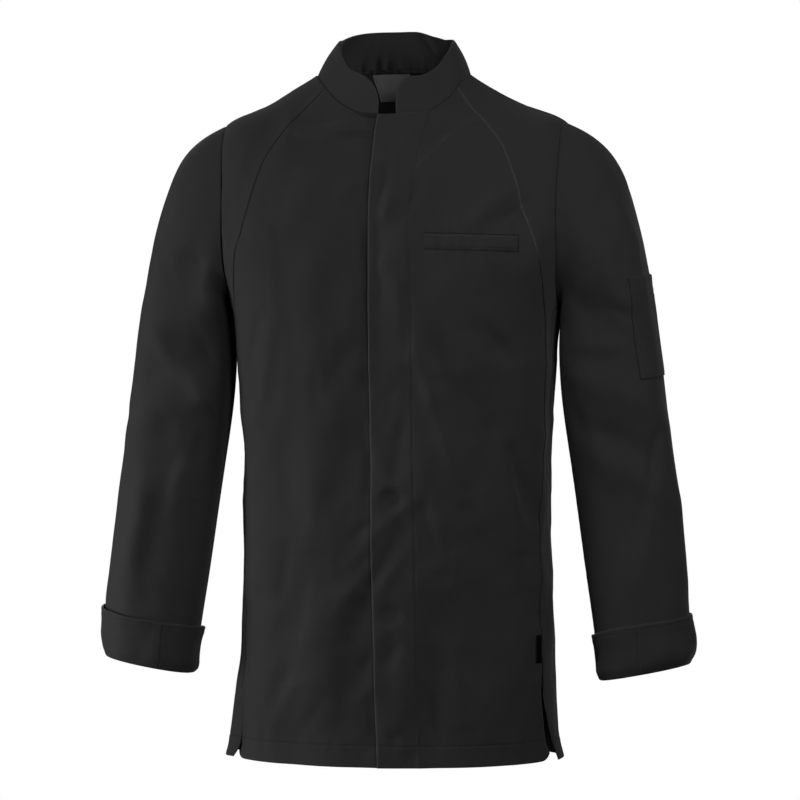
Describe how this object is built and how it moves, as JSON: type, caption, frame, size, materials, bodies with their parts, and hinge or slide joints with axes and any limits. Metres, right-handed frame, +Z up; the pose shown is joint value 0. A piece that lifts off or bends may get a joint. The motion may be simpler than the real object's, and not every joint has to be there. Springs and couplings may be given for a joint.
{
  "type": "chef jacket",
  "caption": "Long-sleeved stand-collar kitchen jacket with a concealed placket, turned-back cuffs, a chest welt, a sleeve pocket and side vents, worn and hollow.",
  "frame": {"origin": "middle of the neck opening at the height of the shoulder line, where the wearer's shoulders hold the jacket", "axes": "+Z up, -Y out of the jacket's front, +X towards the wearer's left"},
  "size_m": [0.6732, 0.2489, 0.8336],
  "materials": {
    "cloth": "matte black poly-cotton twill",
    "label": "plain woven grey label with nothing on it",
    "tab": "plain folded black ribbon",
    "stud": "dark satin metal"
  },
  "bodies": {
    "root": {"front_right": "cloth", "front_left": "cloth", "side_right": "cloth", "side_left": "cloth", "back": "cloth", "sleeve_right": "cloth", "sleeve_left": "cloth", "cuff_right": "cloth", "cuff_left": "cloth", "collar": "cloth", "chest_welt": "cloth", "sleeve_pocket": "cloth", "neck_label": "label", "side_tab": "tab", "stud_1": "stud", "stud_2": "stud", "stud_3": "stud", "stud_4": "stud", "stud_5": "stud", "stud_6": "stud"}
  },
  "joints": []
}
